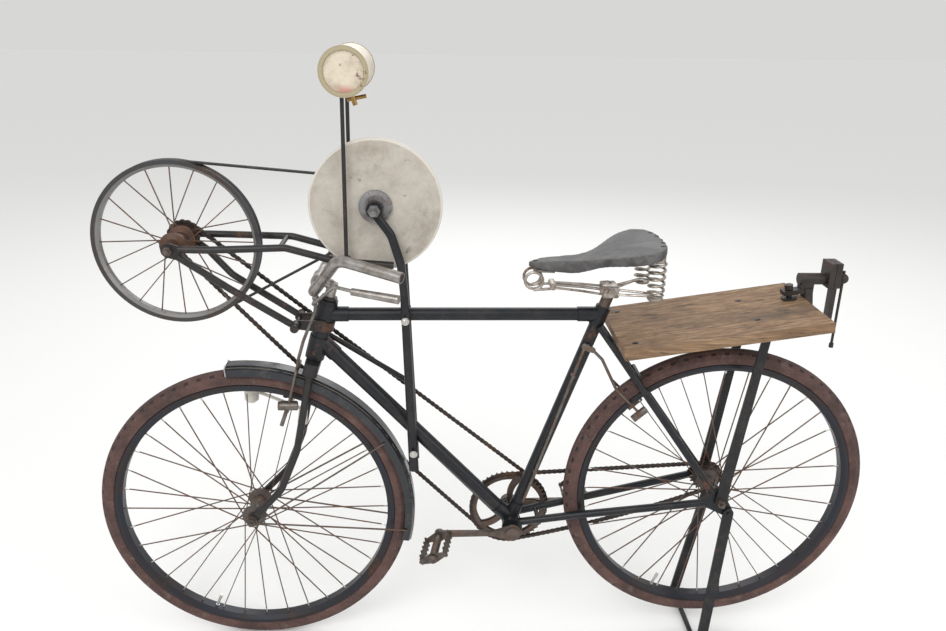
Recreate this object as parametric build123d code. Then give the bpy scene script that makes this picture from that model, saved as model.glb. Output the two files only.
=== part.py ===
from build123d import *
import math
import os

os.makedirs("parts", exist_ok=True)

# Knife grinder's bicycle. Millimetres, +X to the rear, +Y to the rider's right, +Z up.
# The origin is on the floor under the middle of the machine.

# Wheels and stance
wheelbase = 1076.0
tyre_radius = 355.6
tyre_half_width = 19.0
rear_lift = 46.0
rim_radius = 322.0
rim_inner_radius = 306.0
rim_half_width = 16.5
rim_wall = 3.0
spoke_size = 2.2
spoke_count = 36
spoke_lap = 58.0
hub_radius = 15.0
hub_flange_radius = 27.0
hub_axle_radius = 4.75
bearing_gap = 0.08
tight_gap = 0.02
front_dropout_y = 50.0
rear_dropout_y = 60.0
dropout_thick = 5.0
nut_across = 9.5
nut_high = 9.0

# Frame tubes, with each joint's distance ahead of the rear hub
bottom_bracket_back = 478.0
bottom_bracket_z = 318.0
seat_slope = 0.347
head_back = 886.0
head_top_z = 867.0
head_bottom_z = 748.0
head_slope = 0.28
top_tube_z = 840.0
down_tube_z = 783.0
head_tube_radius = 19.0
steerer_radius = 14.0
top_tube_radius = 14.3
down_tube_radius = 15.9
seat_tube_radius = 14.3
lug_wall = 2.2
lug_length = 50.0
chain_stay_radius = 9.0
seat_stay_radius = 8.0
shell_radius = 21.0
shell_half_width = 34.0

# Drive
chain_pitch = 12.7
link_half_height = 4.1
waist_half_height = 2.8
link_plate = 1.5
link_inner_y = 2.0
roller_side = 5.0
tooth_tip = 1.6
ring_teeth = 46
ring_thick = 3.0
ring_width = 14.0
sprocket_teeth = 18
grinder_sprocket_teeth = 16
rear_chain_y = 46.0
grinder_chain_y = 57.0
chain_sag = 11.0
crank_axle_radius = 8.0
crank_length = 170.0
left_crank_y = 60.0
right_crank_y = 72.0
crank_thick = 9.0
pedal_axle_radius = 6.0
pedal_width = 88.0
pedal_reach = 58.0
pedal_high = 24.0
pedal_plate = 2.0
pedal_pitch = 27.0
left_pedal_lean = 9.0

# Grinding rig
stone_back = 777.0
stone_z = 1083.0
stone_radius = 136.0
stone_thick = 20.0
stone_y = -20.0
spindle_radius = 7.0
spindle_end_radius = 6.0
spindle_end_length = 18.0
pulley_radius = 46.0
belt_y = 9.0
belt_width = 11.0
belt_thick = 4.0
belt_gap = 0.4
drive_back = 1193.0
drive_z = 996.0
drive_radius = 173.0
drive_half_width = 12.0
drive_near_y = 52.0
drive_far_y = 70.0
post_foot_radius = 11.0
post_radius = 9.0
post_gap = 0.3
post_foot_z = 470.0
post_bend_z = 862.0
post_top_y = 58.0
stay_radius = 7.5
stay_clamp_back = 953.0
stay_clamp_z = 824.0
rod_radius = 4.0
rod_y = 46.0
rod_back = 838.0
can_z = 1347.0
can_radius = 47.0
can_length = 160.0
can_rim = 3.0

# Bench plank, stand and saddle
plank_front_back = 268.0
plank_front_z = 806.0
plank_length = 434.0
plank_width = 264.0
plank_thick = 22.0
plank_tilt = 8.4
leg_wide = 24.0
leg_thick = 6.0
leg_foot_y = 112.0
stand_pivot_x = 22.0
stand_pivot_z = 372.0
stand_pin_radius = 4.0
foot_x = -20.0
foot_radius = 6.0
saddle_thick = 24.0
spring_wire = 3.5
saddle_back = 459.0
clamp_z = 897.0
vise_y = 30.0
vise_z = 912.0

# Steering fittings
guard_radius = 370.0
guard_half_width = 27.0
guard_sheet = 2.0
guard_front = 96.0
guard_rear = -13.0
bar_radius = 11.1
bar_back = 902.0
bar_z = 918.0
grip_y = 247.0
brake_y = 32.5
brake_rod_radius = 3.0

rear_x = wheelbase / 2
front_x = -wheelbase / 2
rear_z = tyre_radius + rear_lift
front_z = tyre_radius
bb_x = rear_x - bottom_bracket_back
bb_z = bottom_bracket_z
head_x = rear_x - head_back
stone_x = rear_x - stone_back
drive_x = rear_x - drive_back
rod_x = rear_x - rod_back
bar_x = rear_x - bar_back


def seat_at(z):
    return bb_x + (z - bb_z) * seat_slope


def head_at(z):
    return head_x + (z - head_top_z) * head_slope


def pitch_radius(teeth):
    return chain_pitch / 2 / math.sin(math.pi / teeth)


def rod(start, end, radius, end_radius=None):
    start = Vector(*start)
    span = Vector(*end) - start
    plane = Plane(origin=start, z_dir=span)
    if end_radius is None or end_radius == radius:
        return Solid.make_cylinder(radius, span.length, plane)
    return Solid.make_cone(radius, end_radius, span.length, plane)


def bent(points, radius, bend):
    """A round bar along straight runs joined by arcs."""
    path = FilletPolyline(*points, radius=bend)
    plane = Plane(origin=path @ 0, z_dir=path % 0)
    return sweep(plane * Circle(radius), path=path)


def cross(x, z, y0, y1, radius):
    """A round bar across the machine."""
    return rod((x, y0, z), (x, y1, z), radius)


def flat(outline, y, thick):
    """A plate standing in the long plane, centred on y."""
    plate = extrude(outline, amount=thick / 2, both=True)
    return Pos(0, y, 0) * Rot(90, 0, 0) * plate


def block(x0, x1, y0, y1, z0, z1):
    return Pos((x0 + x1) / 2, (y0 + y1) / 2, (z0 + z1) / 2) * Box(x1 - x0, y1 - y0, z1 - z0)


def ring(x, z, y0, y1, outer, inner):
    return cross(x, z, y0, y1, outer) - cross(x, z, y0 - 1, y1 + 1, inner)


def hexagon(x, z, y0, y1, across):
    return flat(Pos(x, z) * RegularPolygon(across, 6), (y0 + y1) / 2, abs(y1 - y0))


def joined(*discs):
    """The outline round a few discs, each given as (x, z, radius)."""
    edges = []
    for x, z, radius in discs:
        edges = edges + (Pos(x, z) * Circle(radius)).edges()
    return make_hull(edges)


def turned(points):
    """A solid of revolution on the Y axis from (radius, y) corners."""
    return revolve(make_face(Polyline(*points, close=True)), axis=Axis.Y)


def toothed(teeth, bore):
    """The outline of a sprocket, its teeth rising between the rollers."""
    pitch = pitch_radius(teeth)
    root = pitch - link_half_height
    tip = pitch + tooth_tip
    tooth = make_face(Polyline((root - 2, -3.2), (tip, -1.2), (tip, 1.2), (root - 2, 3.2), close=True))
    tips = [Rot(0, 0, 360 * n / teeth) * tooth for n in range(teeth)]
    return Sketch() + [Circle(root)] + tips - Circle(bore)


def spokes(count, hub, near, far, rim, lap):
    """Crossed wire spokes between two hub flanges and the rim, on the Y axis."""
    made = []
    for n in range(count):
        side = near if n % 2 == 0 else far
        turn = lap if n % 4 < 2 else -lap
        at_rim = math.radians(n * 360 / count)
        at_hub = math.radians(n * 360 / count + turn)
        start = Vector(hub * math.cos(at_hub), side, hub * math.sin(at_hub))
        end = Vector(rim * math.cos(at_rim), 0, rim * math.sin(at_rim))
        plane = Plane(origin=start, z_dir=end - start)
        made.append(extrude(plane * Rectangle(spoke_size, spoke_size), amount=(end - start).length))
    return made


def wheel_hub(near, far, barrel, flange, bore):
    inset = 4
    thick = 4
    return turned([
        (bore, near), (barrel, near), (flange, near + inset), (flange, near + inset + thick),
        (barrel, near + 2 * inset + thick), (barrel, far - 2 * inset - thick),
        (flange, far - inset - thick), (flange, far - inset), (barrel, far), (bore, far),
    ])


def cycle_wheel(hub_far, with_sprocket):
    wide = rim_half_width
    shoulder = rim_inner_radius + 9
    rim = turned([
        (rim_inner_radius, -wide + 6), (shoulder, -wide), (rim_radius, -wide), (rim_radius, -wide + rim_wall),
        (rim_radius - 5, -wide + rim_wall), (rim_radius - 5, wide - rim_wall), (rim_radius, wide - rim_wall),
        (rim_radius, wide), (shoulder, wide), (rim_inner_radius, wide - 6),
    ])
    near = -hub_far + 6
    far = rear_chain_y - 10 if with_sprocket else hub_far - 6
    bore = hub_axle_radius + bearing_gap
    wheel = rim + wheel_hub(near, far, hub_radius, hub_flange_radius, bore)
    wheel = wheel + spokes(spoke_count, hub_flange_radius - 4, near + 6, far - 6, rim_inner_radius + 3, spoke_lap)
    if with_sprocket:
        wheel = wheel + flat(toothed(sprocket_teeth, bore), rear_chain_y, ring_thick)
        wheel = wheel + turned([(bore, far - 2), (17, far - 2), (17, hub_far - 4), (bore, hub_far - 4)])
    return wheel


def tyre():
    seat = rim_radius - 5
    middle = (seat + tyre_radius) / 2 + 2
    inner = rim_half_width - rim_wall - 0.2
    profile = [(seat, inner), (rim_radius + 0.2, inner), (rim_radius + 3, tyre_half_width - 1.5),
               (middle, tyre_half_width), (tyre_radius - 8, tyre_half_width - 4), (tyre_radius - 2, 8)]
    mirrored = [(r, -y) for r, y in reversed(profile)]
    return turned(profile + [(tyre_radius, 0)] + mirrored)


def axle(x, z, near, far, nut_at):
    """A fixed axle with its nuts outside the dropouts."""
    shaft = cross(x, z, near, far, hub_axle_radius)
    for side, inner in nut_at:
        shaft = shaft + hexagon(x, z, inner, inner + side * nut_high, nut_across)
    return shaft


def pin_path(start, start_radius, end, end_radius, first_sag, second_sag):
    """Pin centres round two sprockets, each with its free length of straight run."""
    dx = end[0] - start[0]
    dz = end[1] - start[1]
    span = math.hypot(dx, dz)
    heading = math.atan2(dz, dx)
    lap = math.acos((start_radius - end_radius) / span)
    run = math.sqrt(span ** 2 - (start_radius - end_radius) ** 2)
    end_arc = end_radius * 2 * lap
    total = start_radius * (2 * math.pi - 2 * lap) + end_arc + 2 * run
    count = 2 * round(total / chain_pitch / 2)
    pins = []
    for n in range(count):
        s = total * n / count
        centre, radius, angle, along, sag = start, start_radius, heading - lap, 0.0, 0.0
        if s < run:
            angle, along, sag = heading + lap, s, first_sag
        elif s < run + end_arc:
            centre, radius, angle = end, end_radius, heading + lap - (s - run) / end_radius
        elif s < 2 * run + end_arc:
            centre, radius, along, sag = end, end_radius, s - run - end_arc, second_sag
        else:
            angle = heading - lap - (s - 2 * run - end_arc) / start_radius
        x = centre[0] + radius * math.cos(angle) + along * math.sin(angle)
        z = centre[1] + radius * math.sin(angle) - along * math.cos(angle)
        share = along / run
        pins.append((x, z - 4 * sag * share * (1 - share), min(along, run - along) if along else 0.0))
    return pins


def link_edge(pins, side):
    """One edge of the link plates: high at each pin and waisted between pins."""
    points = []
    count = len(pins)
    for n in range(count):
        here = Vector(*pins[n][:2])
        after = Vector(*pins[(n + 1) % count][:2])
        before = Vector(*pins[n - 1][:2])
        along = (after - before).normalized()
        out = Vector(-along.Y, along.X) * side
        onward = (after - here).normalized()
        waist_out = Vector(-onward.Y, onward.X) * side
        points.append(here - along * 2.2 + out * link_half_height)
        points.append(here + along * 2.2 + out * link_half_height)
        points.append((here + after) / 2 + waist_out * waist_half_height)
    return make_face(Polyline(*points, close=True))


def chain(pins, y, free):
    """Two rows of link plates with rollers between them where no tooth passes."""
    plates = link_edge(pins, 1) - link_edge(pins, -1)
    rollers = Sketch() + [Pos(x, z) * Rectangle(roller_side, roller_side) for x, z, room in pins if room > free]
    made = flat(rollers, y, 2 * link_inner_y)
    for side in (-1, 1):
        made = made + flat(plates, y + side * (link_inner_y + link_plate / 2), link_plate)
    return made


parts = {}

# Frame: tubes and lugs, each trimmed to the one it meets
head_low = Vector(head_at(head_bottom_z), 0, head_bottom_z)
head_high = Vector(head_at(head_top_z), 0, head_top_z)
head_axis = (head_high - head_low).normalized()
bb_end = Vector(bb_x, 0, bb_z)
down_start = Vector(head_at(down_tube_z), 0, down_tube_z)
down_dir = (bb_end - down_start).normalized()
seat_dir = Vector(seat_slope, 0, 1).normalized()
seat_top_z = top_tube_z + 18
top_front = Vector(head_at(top_tube_z), 0, top_tube_z)
top_rear = Vector(seat_at(top_tube_z), 0, top_tube_z)
head_bore = rod(head_low - head_axis * 40, head_high + head_axis * 40, steerer_radius + bearing_gap)
head_blank = rod(head_low, head_high, head_tube_radius)
cup_low = rod(head_low - head_axis * 9, head_low + head_axis, head_tube_radius + 2)
cup_high = rod(head_high - head_axis, head_high + head_axis * 7, head_tube_radius + 1.5)
shell_blank = cross(bb_x, bb_z, -shell_half_width, shell_half_width, shell_radius)
seat_blank = rod(bb_end, (seat_at(seat_top_z), 0, seat_top_z), seat_tube_radius)
top_blank = rod(top_front, top_rear, top_tube_radius)
down_blank = rod(down_start, bb_end, down_tube_radius)
top_lug = rod(top_front, top_front + Vector(lug_length, 0, 0), top_tube_radius + lug_wall)
down_lug = rod(down_start, down_start + down_dir * lug_length, down_tube_radius + lug_wall)
head_sleeve = rod(head_low, head_high, head_tube_radius + lug_wall)
head_waist = rod(head_low + head_axis * 44, head_high - head_axis * 44, head_tube_radius + 2 * lug_wall)
head_tube = head_blank + cup_low + cup_high + (head_sleeve - head_waist) + top_lug + down_lug
head_tube = head_tube - top_blank - down_blank - head_bore
parts["head_tube"] = head_tube
shell_lugs = rod(bb_end, bb_end - down_dir * lug_length, down_tube_radius + lug_wall)
shell_lugs = shell_lugs + rod(bb_end, bb_end + seat_dir * lug_length, seat_tube_radius + lug_wall)
axle_bore = cross(bb_x, bb_z, -80, 80, crank_axle_radius + bearing_gap)
near_cup = cross(bb_x, bb_z, -shell_half_width - 5, -shell_half_width, shell_radius + 2)
far_cup = cross(bb_x, bb_z, shell_half_width, shell_half_width + 4, shell_radius + 1)
shell = (shell_lugs - down_blank - seat_blank) + shell_blank + near_cup + far_cup - axle_bore
parts["bottom_bracket_shell"] = shell
seat_lug = rod(top_rear - seat_dir * 26, (seat_at(seat_top_z), 0, seat_top_z), seat_tube_radius + lug_wall)
seat_lug = seat_lug + rod(top_rear - Vector(lug_length, 0, 0), top_rear, top_tube_radius + lug_wall)
pillar_bore = rod((seat_at(740), 0, 740), (seat_at(900), 0, 900), 12.5)
seat_tube = seat_blank + seat_lug - top_blank - shell_blank - shell_lugs - pillar_bore
parts["seat_tube"] = seat_tube

# Rear dropouts with the stand's pivot ears
ear_outline = joined((rear_x, rear_z, 17), (rear_x + stand_pivot_x, stand_pivot_z, 12),
                     (rear_x - 36, rear_z - 4, 8), (rear_x - 20, rear_z + 24, 7))
ear_outline = ear_outline - Pos(rear_x, rear_z) * Circle(hub_axle_radius + tight_gap)
ear_outline = ear_outline - Pos(rear_x + stand_pivot_x, stand_pivot_z) * Circle(stand_pin_radius + bearing_gap)
stay_y = rear_dropout_y + dropout_thick / 2
dropouts = [flat(ear_outline, side * stay_y, dropout_thick) for side in (-1, 1)]
parts["rear_dropouts"] = Compound(dropouts)

# Chain stays and seat stays run from the shell and the seat lug to the dropouts
chain_stays = []
seat_stays = []
for side in (-1, 1):
    low = bent([(bb_x + 10, side * 22, bb_z + 3), (bb_x + 150, side * 33, bb_z + 29),
                (rear_x - 34, side * stay_y, rear_z - 4)], chain_stay_radius, 120)
    chain_stays.append(low - shell - dropouts[0] - dropouts[1])
    high = bent([(seat_at(812) + 6, side * 20, 818), (seat_at(812) + 45, side * 26, 764),
                 (rear_x - 18, side * stay_y, rear_z + 22)], seat_stay_radius, 150)
    seat_stays.append(high - seat_tube - dropouts[0] - dropouts[1])
bridge_low = cross(bb_x + 62, bb_z + 13, -20, 20, 5)
bridge_high = cross(rear_x - 205, rear_z + 300, -32, 32, 5)
parts["chain_stays"] = chain_stays[0] + chain_stays[1] + bridge_low
parts["seat_stays"] = seat_stays[0] + seat_stays[1] + bridge_high

# Front wheel and rear wheel
parts["front_wheel"] = Pos(front_x, 0, front_z) * cycle_wheel(front_dropout_y - 2, False)
parts["front_tyre"] = Pos(front_x, 0, front_z) * tyre()
parts["rear_wheel"] = Pos(rear_x, 0, rear_z) * cycle_wheel(rear_dropout_y - 1, True)
parts["rear_tyre"] = Pos(rear_x, 0, rear_z) * tyre()
rear_nut = rear_dropout_y + dropout_thick
upright_thick = 6.0
rear_axle_end = rear_nut + upright_thick + 18
parts["rear_axle"] = axle(rear_x, rear_z, -rear_axle_end, rear_axle_end,
                          [(-1, -rear_nut - upright_thick), (1, rear_nut + upright_thick)])

# Fork: crown, raked blades, steerer
crown_high = head_low - head_axis * 10
crown_low = crown_high - head_axis * 30
crown_half = 45.0
crown = fillet(block(-16, 16, -crown_half, crown_half, 0, 30).edges().filter_by(Axis.Z), 12)
crown = Plane(origin=crown_low, x_dir=(head_axis.Z, 0, -head_axis.X), z_dir=head_axis) * crown
fork = crown + rod(crown_high - head_axis * 4, head_high + head_axis * 14, steerer_radius)
fork = fork + rod(head_high + head_axis * 8, head_high + head_axis * 14, 17)
tip_outline = joined((front_x, front_z, 12), (front_x + 14, front_z + 16, 7))
blade_top = (crown_low.X + 3, crown_low.Z + 12)
for side in (-1, 1):
    tip = flat(tip_outline, side * (front_dropout_y + dropout_thick / 2), dropout_thick)
    blade = bent([
        (blade_top[0], side * 36, blade_top[1]), (rear_x - 966, side * 44, 530), (rear_x - 1006, side * 48, 432),
        (front_x + 12, side * (front_dropout_y + 2.5), front_z + 14)], 8.0, 60)
    fork = fork + (blade - tip) + tip
fork = fork - cross(front_x, front_z, -80, 80, hub_axle_radius + tight_gap)
parts["fork"] = fork
front_nut = front_dropout_y + dropout_thick
stay_ring = 5.0
front_axle_end = front_nut + stay_ring + 14
parts["front_axle"] = axle(front_x, front_z, -front_axle_end, front_axle_end,
                           [(-1, -front_nut - stay_ring), (1, front_nut + stay_ring)])

# Stem and handlebar
stem_top = head_high + head_axis * 46
stem = rod(head_high + head_axis * 14, stem_top, 11.5)
stem = stem + rod(head_high + head_axis * 40, (bar_x, 0, bar_z), 11)
stem = stem + cross(bar_x, bar_z, -22, 22, 16)
near_bar = bent([(bar_x, 0, bar_z), (bar_x - 3, -84, bar_z - 3), (rear_x - 838, -184, 1016),
                 (rear_x - 716, -grip_y, 1000)], bar_radius, 44)
bar = near_bar + mirror(near_bar, about=Plane.XZ)
parts["stem"] = stem - bar
parts["handlebar"] = bar

# Brake levers under the bar, each with its turned sleeve
levers = []
lever_x = rear_x - 905.0
lever_z = 892.0
for side in (-1, 1):
    arm = bent([(lever_x, side * 40, lever_z), (lever_x, side * 88, lever_z),
                (rear_x - 848, side * 182, 962), (rear_x - 800, side * 216, 962)], spring_wire, 20)
    sleeve = rod((rear_x - 811, side * 211, 962), (rear_x - 722, side * 243, 957), 7.0, 8.5)
    hanger = rod((lever_x, side * 58, lever_z), (lever_x, side * 58, bar_z - bar_radius - 2.4), 4)
    levers.append(arm + sleeve + hanger)
parts["brake_levers"] = Compound(levers)

# Front brake: a rod from the near lever to a stirrup with a block on each side
block_x = rear_x - 981
block_z = 636.0
stirrup = bent([(block_x + 3, -brake_y, block_z + 9), (rear_x - 958, -brake_y, 720),
                (rear_x - 958, brake_y, 720), (block_x + 3, brake_y, block_z + 9)], brake_rod_radius, 12)
brake_eye = ring(lever_x, lever_z, -49, -43, 7, spring_wire + 0.15)
brake_pull = bent([(lever_x, -46, lever_z - 5), (rear_x - 908, -46, 862), (rear_x - 936, -46, 796),
                   (rear_x - 950, -40, 752), (rear_x - 958, -brake_y + 12, 720)], brake_rod_radius + 0.5, 14)
front_brake = stirrup + brake_pull + brake_eye
blocks = []
for side in (-1, 1):
    holder = rod((block_x - 21, side * brake_y, block_z), (block_x + 21, side * brake_y, block_z), 10)
    pin = rod((block_x - 2, side * brake_y, block_z - 6), (block_x - 17, side * brake_y, block_z - 48), 4.5)
    rubber = Pos(block_x, side * (brake_y - 8.5), block_z) * Box(36, 8, 13)
    front_brake = front_brake + (holder - rubber) + (pin - rubber)
    blocks.append(rubber)
parts["front_brake"] = front_brake
parts["front_brake_blocks"] = Compound(blocks)

# Front mudguard: a rolled channel round part of the tyre, hung from the crown
edge = guard_half_width
outline = [(guard_radius - 22, edge), (guard_radius - 6, edge - 2), (guard_radius, edge - 13)]
inside = [(guard_radius - 22, edge - guard_sheet), (guard_radius - 7, edge - 2 - guard_sheet),
          (guard_radius - guard_sheet, edge - 14)]
section = outline + [(r, -y) for r, y in reversed(outline)] + [(r, -y) for r, y in inside] + inside[::-1]
guard = revolve(make_face(Polyline(*section, close=True)), axis=Axis.Y, revolution_arc=guard_front - guard_rear)
guard = Pos(front_x, 0, front_z) * Rot(0, -guard_front, 0) * guard
hanger_x = crown_low.X - 2
hanger_z = front_z + math.sqrt(guard_radius ** 2 - (hanger_x - front_x) ** 2)
hanger = rod((hanger_x, 0, hanger_z - 3), (hanger_x + 5, 0, crown_low.Z + 8), 8)
parts["front_mudguard"] = (guard + hanger) - fork

stays = []
stay_y_low = front_nut + stay_ring / 2
for side in (-1, 1):
    eye = ring(front_x, front_z, side * front_nut, side * (front_nut + stay_ring), 12, hub_axle_radius + tight_gap)
    for angle, foot_z in ((31.0, front_z - 4), (-8.0, front_z - 6)):
        reach = guard_radius - 14
        top = (front_x + reach * math.cos(math.radians(angle)), side * (edge + 2.2),
               front_z + reach * math.sin(math.radians(angle)))
        eye = eye + rod((front_x + 9, side * stay_y_low, foot_z), top, 2.0)
    stays.append(eye)
parts["mudguard_stays"] = Compound(stays) - parts["front_axle"] - parts["front_mudguard"]

# Bottle dynamo on the far fork blade
dynamo_x = rear_x - 1080
dynamo_y = 52.0
dynamo_foot = Vector(dynamo_x, dynamo_y, 606)
dynamo_line = Vector(5, 0, 88) / 88
dynamo = rod(dynamo_foot, dynamo_foot + dynamo_line * 6, 10, 16)
for low, high, radius, end_radius in ((6, 62, 16, 18), (62, 72, 18, 8), (72, 88, 8, 8)):
    dynamo = dynamo + rod(dynamo_foot + dynamo_line * low, dynamo_foot + dynamo_line * high, radius, end_radius)
dynamo_arm = rod((dynamo_x + 12, dynamo_y, 632), (rear_x - 966, 49, 588), 4)
clip = rod((rear_x - 965, 43, 556), (rear_x - 959, 42, 594), 12)
parts["dynamo"] = dynamo + dynamo_arm + clip - fork

# Cranks, chainrings and pedals
ring_pitch = pitch_radius(ring_teeth)
spider_arm = trace(ThreePointArc((12, 0), (46, 11), (ring_pitch - 8, 0)), line_width=13)
ring_outline = toothed(ring_teeth, ring_pitch - ring_width)
ring_outline = ring_outline + Circle(22) + [Rot(0, 0, 72 * n) * spider_arm for n in range(5)]
crank_set = cross(0, 0, -left_crank_y - 8, right_crank_y + 8, crank_axle_radius)
for y in (rear_chain_y, grinder_chain_y):
    crank_set = crank_set + flat(ring_outline, y, ring_thick)
crank_set = crank_set + cross(0, 0, rear_chain_y - 2, right_crank_y, 20)
lean = math.radians(left_pedal_lean)
left_pedal_dir = Vector(-math.sin(lean), -math.cos(lean), 0)
right_pedal_dir = Vector(0, 1, 0)
for side, y, way in ((-1, left_crank_y, left_pedal_dir), (1, right_crank_y, right_pedal_dir)):
    arm = joined((0, 0, 19), (side * 44, 0, 5.5)) + joined((side * 30, 0, 5.5), (side * crank_length, 0, 7))
    arm = flat(arm + Pos(side * crank_length, 0) * Circle(11), side * y, crank_thick)
    eye = Vector(side * crank_length, side * y, 0)
    crank_set = crank_set + arm + cross(0, 0, side * y - 8, side * y + 8, 17)
    crank_set = crank_set - rod(eye - way * 12, eye + way * 12, pedal_axle_radius + bearing_gap)
parts["crankset"] = Pos(bb_x, 0, bb_z) * crank_set


def pedal():
    """A rat-trap pedal that points along +Y from its thread."""
    inner = 10.0
    outer = inner + pedal_width
    barrel_radius = 9.0
    made = cross(0, 0, -crank_thick / 2, inner + 4, pedal_axle_radius)
    made = made + cross(0, 0, inner, outer, barrel_radius)
    made = made + rod((0, outer, 0), (0, outer + 5, 0), barrel_radius + 1.5, barrel_radius - 3)
    half = pedal_reach / 2
    for y in (inner + 2, outer - 6):
        made = made + flat(joined((-half, 0, 5), (0, 0, 13), (half, 0, 5)), y, pedal_plate)
    for x in (-half, half):
        plate = Pos(x, (inner + outer) / 2 - 2, 0) * Box(pedal_plate, pedal_width - 6, pedal_high - 8)
        notches = [Pos(x, inner + 8 + 16 * n, 0) * Box(pedal_plate, 6, pedal_high) for n in range(5)]
        made = made + plate + notches
    return Rot(0, -pedal_pitch, 0) * made


left_eye = Pos(bb_x - crank_length, -left_crank_y, bb_z)
parts["left_pedal"] = left_eye * Rot(0, 0, -left_pedal_lean) * mirror(pedal(), about=Plane.XZ)
parts["right_pedal"] = Pos(bb_x + crank_length, right_crank_y, bb_z) * pedal()
bb_centre = (bb_x, bb_z)
tooth_room = 30.0
rear_pins = pin_path(bb_centre, ring_pitch, (rear_x, rear_z), pitch_radius(sprocket_teeth), 0, chain_sag)
parts["rear_chain"] = chain(rear_pins, rear_chain_y, tooth_room)
grinder_pins = pin_path(bb_centre, ring_pitch, (drive_x, drive_z), pitch_radius(grinder_sprocket_teeth), chain_sag, 0)
parts["grinder_chain"] = chain(grinder_pins, grinder_chain_y, tooth_room)

# Drive wheel: a bare rim that takes the belt
belt_bed = drive_radius - 5
lip = drive_half_width
drive_rim = turned([
    (belt_bed - 10, -lip + 6), (belt_bed - 4, -lip), (drive_radius, -lip), (drive_radius, -lip + 2),
    (belt_bed, -lip + 4), (belt_bed, lip - 4), (drive_radius, lip - 2), (drive_radius, lip),
    (belt_bed - 4, lip), (belt_bed - 10, lip - 6),
])
drive_bore = hub_axle_radius + bearing_gap
drive_wheel = drive_rim + wheel_hub(-36, 34, 16, 28, drive_bore) + spokes(20, 24, -30, 28, belt_bed - 7, 30)
drive_wheel = Pos(0, belt_y, 0) * drive_wheel
drive_wheel = drive_wheel + flat(toothed(grinder_sprocket_teeth, drive_bore), grinder_chain_y, ring_thick)
drive_wheel = drive_wheel + turned([(drive_bore, 40), (17, 40), (17, 60), (drive_bore, 60)])
parts["drive_wheel"] = Pos(drive_x, 0, drive_z) * drive_wheel
parts["drive_axle"] = axle(drive_x, drive_z, -drive_near_y - 20, drive_far_y + 20,
                           [(-1, -drive_near_y - dropout_thick), (1, drive_far_y + dropout_thick)])

# Stone with its spindle, flanges and pulley
near_face = stone_y - stone_thick / 2
far_face = stone_y + stone_thick / 2
edge_break = 2.0
stone = turned([
    (0, near_face), (stone_radius - edge_break, near_face), (stone_radius, near_face + edge_break),
    (stone_radius, far_face - edge_break), (stone_radius - edge_break, far_face), (0, far_face),
])
pulley_half = belt_width / 2 + 2
spindle = turned([
    (0, -post_top_y - 22 - spindle_end_length), (spindle_end_radius, -post_top_y - 22 - spindle_end_length),
    (spindle_end_radius, -post_top_y - 22), (spindle_radius, -post_top_y - 22),
    (spindle_radius, -post_top_y + 8), (12, -post_top_y + 8), (12, near_face - 12), (24, near_face - 12),
    (24, near_face - 8), (34, near_face - 6), (34, near_face), (spindle_radius + 3, near_face),
    (spindle_radius + 3, far_face), (30, far_face), (30, far_face + 4), (14, far_face + 4),
    (14, belt_y - pulley_half), (pulley_radius + 3, belt_y - pulley_half), (pulley_radius, belt_y - belt_width / 2),
    (pulley_radius, belt_y + belt_width / 2), (pulley_radius + 3, belt_y + pulley_half),
    (14, belt_y + pulley_half), (12, post_top_y - 8), (spindle_radius, post_top_y - 8),
    (spindle_radius, post_top_y + 20), (0, post_top_y + 20),
])
spindle = spindle + hexagon(0, 0, -post_top_y - 10, -post_top_y - 20, 13)
spindle = spindle + hexagon(0, 0, post_top_y + 10, post_top_y + 18, 11)
parts["stone"] = Pos(stone_x, 0, stone_z) * (stone - spindle)
parts["stone_spindle"] = Pos(stone_x, 0, stone_z) * spindle


def belt_face(grow):
    seat = belt_gap + grow
    return joined((drive_x, drive_z, belt_bed + seat), (stone_x, stone_z, pulley_radius + seat))


parts["belt"] = flat(belt_face(belt_thick) - belt_face(0), belt_y, belt_width)

# Posts that carry the stone, bolted through both frame tubes
post_y = down_tube_radius + post_foot_radius + post_gap
post_foot_x = rear_x - 706
post_bend_x = rear_x - 721
post_lean = (post_bend_x - post_foot_x) / (post_bend_z - post_foot_z)
posts = []
for side in (-1, 1):
    leg = rod((post_foot_x, side * post_y, post_foot_z), (post_bend_x, side * post_y, post_bend_z),
              post_foot_radius, post_radius)
    arm = bent([
        (post_bend_x, side * post_y, post_bend_z), (post_bend_x + 38 * post_lean, side * post_y, post_bend_z + 38),
        (rear_x - 727, side * 47, 966), (rear_x - 745, side * (post_top_y - 2), 1030),
        (stone_x + 3, side * post_top_y, stone_z - 12)], post_radius, 45)
    eye = ring(stone_x, stone_z, side * post_top_y - 7, side * post_top_y + 7, 17, spindle_radius + bearing_gap)
    arm = arm - cross(stone_x, stone_z, -90, 90, 16.5)
    posts.append(leg + arm + eye)
far_post_x = rear_x - 713
brace = rod((rear_x - 905, post_y, 790), (far_post_x, post_y, 664), 6)
brace_lug = rod((head_at(790) + 2, 10, 790), (head_at(790) + 2, post_y + 7, 790), 8)
brace = (brace + brace_lug) - head_tube - head_sleeve - top_blank - down_blank
bolts = []
bolt_end = post_y + post_foot_radius + 5
for x, z in ((rear_x - 720, top_tube_z), (rear_x - 706, 521.0)):
    bolt = cross(x, z, -bolt_end, bolt_end, 4)
    bolts.append(bolt + cross(x, z, -bolt_end - 4, -bolt_end, 9) + cross(x, z, bolt_end, bolt_end + 4, 9))
near_post = posts[0] - bolts[0] - bolts[1]
far_post = (posts[1] + (brace - posts[1])) - bolts[0] - bolts[1]
parts["grinder_posts"] = Compound([near_post, far_post])
parts["post_bolts"] = Compound(bolts)
parts["top_tube"] = top_blank - head_blank - seat_blank - bolts[0]
parts["down_tube"] = down_blank - head_blank - shell_blank

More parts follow.
